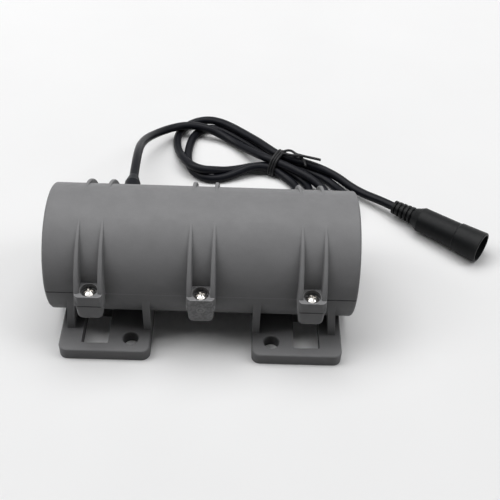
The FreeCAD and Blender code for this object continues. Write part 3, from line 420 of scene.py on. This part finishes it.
def slot_materials():
    """One finish for each material slot of the record."""
    # How the noise is stretched into lines: turned, ground lengthways, ground across, and not at all
    around = (0.06, 1, 1)
    along = (1, 0.1, 0.1)
    across = (1, 0.1, 1)
    even = (1, 1, 1)
    return {
        "housing_plastic": housing_plastic(),
        "screw_metal": metal("screw_metal", (0.78, 0.76, 0.73), (0.16, 0.3), 0.15, even, 0.006),
        "can_steel": metal("can_steel", (0.62, 0.62, 0.6), (0.3, 0.45), 0.1, around, 0.006),
        "end_bell_plastic": plastic("end_bell_plastic", (0.05, 0.05, 0.052), 0.2, 0.012, (0.4, 0.55)),
        "magnet_ferrite": speckled("magnet_ferrite", (0.09, 0.09, 0.1)),
        "spring_steel": metal("spring_steel", (0.5, 0.5, 0.52), (0.22, 0.34), 0.06, around),
        "carbon": speckled("carbon", (0.04, 0.04, 0.042), (0.45, 0.65), 0.12),
        "copper": banded_metal("copper", (0.72, 0.33, 0.16), 0.45, "Y", 0.25),
        "contact_metal": metal("contact_metal", (0.74, 0.6, 0.34), (0.22, 0.36), 0.08, across),
        "red_insulation": soft_pvc("red_insulation", (0.45, 0.02, 0.02)),
        "black_insulation": soft_pvc("black_insulation", (0.015, 0.015, 0.016)),
        "bearing_steel": metal(
            "bearing_steel", (0.72, 0.73, 0.75), (0.1, 0.2), 0.05, around, 0.002, 0.05),
        "cage_metal": metal("cage_metal", (0.62, 0.52, 0.32), (0.3, 0.45), 0.08, around),
        "shaft_steel": metal("shaft_steel", (0.64, 0.64, 0.66), (0.15, 0.28), 0.05, along, 0.002, 0.05),
        "core_steel": banded_metal("core_steel", (0.34, 0.34, 0.36), 0.5, "X", 0.35, (0.35, 0.5)),
        "weight_steel": metal("weight_steel", (0.46, 0.45, 0.44), (0.28, 0.42), 0.12, along, 0.006, 0.15),
        "grub_steel": metal("grub_steel", (0.1, 0.1, 0.11), (0.35, 0.5), 0.1, even),
        "cable_pvc": soft_pvc("cable_pvc", (0.0045, 0.005, 0.008), (0.3, 0.38), shine=0.11),
        "tie_pvc": soft_pvc("tie_pvc", (0.006, 0.006, 0.007), (0.35, 0.5), 0.12, 0.008, 0.05),
        "connector_pvc": soft_pvc(
            "connector_pvc", (0.005, 0.0055, 0.006), (0.38, 0.48), 0.2, 0.012, 0.02, 0.14),
        "insert_plastic": plastic("insert_plastic", (0.012, 0.012, 0.013), 0.2, 0.01, (0.35, 0.5)),
        "pin_metal": metal("pin_metal", (0.78, 0.77, 0.74), (0.15, 0.28), 0.06, even, 0.003),
    }


def dress_frame(finishes):
    slot_of = {row["node"]: row["material_slot"] for row in frame["record"]["subparts"]}
    for node, piece in frame["nodes"].items():
        for place in piece.material_slots:
            place.link = "OBJECT"
            place.material = finishes[slot_of[node]]


def cable(finish):
    points = CABLE_LEAD + LOOP_BEHIND + LOOP_INNER + LOOP_SECOND + LOOP_OUTER + CABLE_TAIL
    piece = smooth_line("cable", points, CABLE_RADIUS)
    piece.data.materials.append(finish)
    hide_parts("power_cable", "cable_hank", "cable_tail")
    return piece


def tie_places():
    """The tie's turns side by side round the bundle, in millimetres."""
    heading = math.radians(TIE_DIRECTION)
    along = Vector((math.cos(heading), math.sin(heading), 0))
    across = Vector((-math.sin(heading), math.cos(heading), 0))
    centre = Vector((*TIE_CENTRE, 0))
    count = len(TIE_OUTLINE)
    total = TIE_TURNS * count
    places = []
    for index in range(total):
        side, rise = TIE_OUTLINE[index % count]
        shift = TIE_PITCH * (index / count - TIE_TURNS / 2)
        places.append(centre + across * side + along * shift + Vector((0, 0, rise)))
    return places


def tie(finish):
    """The wire tie: its turns round the bundle, an open eye, and the ends twisted into a stub."""
    band = smooth_line("tie_band", tie_places(), TIE_RADIUS)
    eye = smooth_line("tie_eye", [
        (29.8, 75.2, 8.6), (31.2, 75.6, 9.0), (32.8, 76.4, 9.1), (34.6, 76.2, 9.1), (35.8, 74.8, 9.1),
        (36.9, 73.6, 9.2), (38.9, 73.0, 9.2), (41.2, 72.3, 9.1), (44.2, 71.3, 9.2), (47.1, 70.3, 9.3),
    ], TIE_RADIUS)
    leg = smooth_line("tie_leg", [
        (30.2, 74.6, 8.6), (31.8, 74.4, 8.8), (33.8, 73.5, 8.9), (35.8, 73.2, 8.9), (37.8, 72.9, 9.3),
        (40.4, 71.9, 9.7), (43.4, 70.7, 9.9), (46.4, 69.8, 9.9),
    ], TIE_RADIUS)
    spare = smooth_line("tie_end", [
        (38.0, 73.4, 8.6), (39.2, 73.0, 8.0), (40.0, 71.6, 7.5), (40.4, 70.2, 7.3), (40.7, 68.8, 6.9),
    ], TIE_RADIUS)
    for piece in (band, eye, leg, spare):
        piece.data.materials.append(finish)
    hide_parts("twist_tie")
    return [band, eye, leg, spare]


def floor():
    """Pale to the camera and in reflections; a duller sheet as far as the light it throws back goes."""
    n = Nodes("floor")
    cloud = n.spread(n.noise(60.0, 2), 0, 1)
    pale = n.mix(cloud, scaled(FLOOR_SEEN, 0.99), scaled(FLOOR_SEEN, 1.01))
    path = n.add("ShaderNodeLightPath").outputs
    direct = n.math("MAXIMUM", path["Is Camera Ray"],
                    n.math("MAXIMUM", path["Is Glossy Ray"], path["Is Transmission Ray"]))
    base = n.mix(direct, FLOOR_THROWN, pale)
    # Far from the object the lamps no longer reach the floor, which stays as pale as it is near
    across = n.add("ShaderNodeVectorMath", operation="DOT_PRODUCT")
    n.put(across.inputs[0], n.coordinates)
    n.put(across.inputs[1], n.coordinates)
    spread = n.math("ADD", 1.0, n.math("DIVIDE", across.outputs["Value"], LIT_REACH ** 2))
    missing = n.math("SUBTRACT", 1.0, n.math("DIVIDE", 1.0, n.math("MULTIPLY", spread, spread)))
    glow = n.math("MULTIPLY", n.math("MULTIPLY", missing, FLOOR_GLOW), direct)
    n.put(n.shader.inputs["Emission Strength"], glow)
    n.shader.inputs["Emission Color"].default_value = (1, 1, 1, 1)
    rough = n.spread(n.noise(20.0, 2), 0.7, 0.8)
    material = n.finish(base, rough, n.bump(n.noise(0.5, 2), 0.002), Specular_IOR_Level=0.0)
    mesh = bpy.data.meshes.new("floor")
    corners = [(x * FLOOR_REACH, y * FLOOR_REACH, 0) for x, y in ((-1, -1), (1, -1), (1, 1), (-1, 1))]
    mesh.from_pydata(corners, [], [(0, 1, 2, 3)])
    plane = bpy.data.objects.new("floor", mesh)
    bpy.context.collection.objects.link(plane)
    mesh.materials.append(material)


def area_light(name, place, target, size, power):
    data = bpy.data.lights.new(name, "AREA")
    data.shape = "RECTANGLE"
    data.size, data.size_y = size
    data.energy = power
    lamp = bpy.data.objects.new(name, data)
    bpy.context.collection.objects.link(lamp)
    lamp.location = place
    lamp.rotation_euler = (Vector(target) - Vector(place)).to_track_quat("-Z", "Y").to_euler()


def lights():
    """The lamps, and a world that is white to the camera and in reflections and nearly dark otherwise."""
    for lamp in LAMPS:
        area_light(*lamp)
    world = bpy.data.worlds.new("world")
    bpy.context.scene.world = world
    world.use_nodes = True
    nodes, links = world.node_tree.nodes, world.node_tree.links
    back = nodes["Background"]
    back.inputs["Color"].default_value = (1, 1, 1, 1)
    path = nodes.new("ShaderNodeLightPath")
    last = None
    for ray in ("Is Camera Ray", "Is Glossy Ray", "Is Transmission Ray"):
        term = nodes.new("ShaderNodeMath")
        term.operation = "MAXIMUM"
        links.new(path.outputs[ray], term.inputs[0])
        if last is None:
            term.inputs[1].default_value = AMBIENT
        else:
            links.new(last, term.inputs[1])
        last = term.outputs[0]
    links.new(last, back.inputs["Strength"])


camera()
finishes = slot_materials()
main_cable = cable(finishes["cable_pvc"])
dress_frame(finishes)
ties = tie(finishes["tie_pvc"])
floor()
lights()
bpy.context.scene.view_settings.view_transform = "Standard"
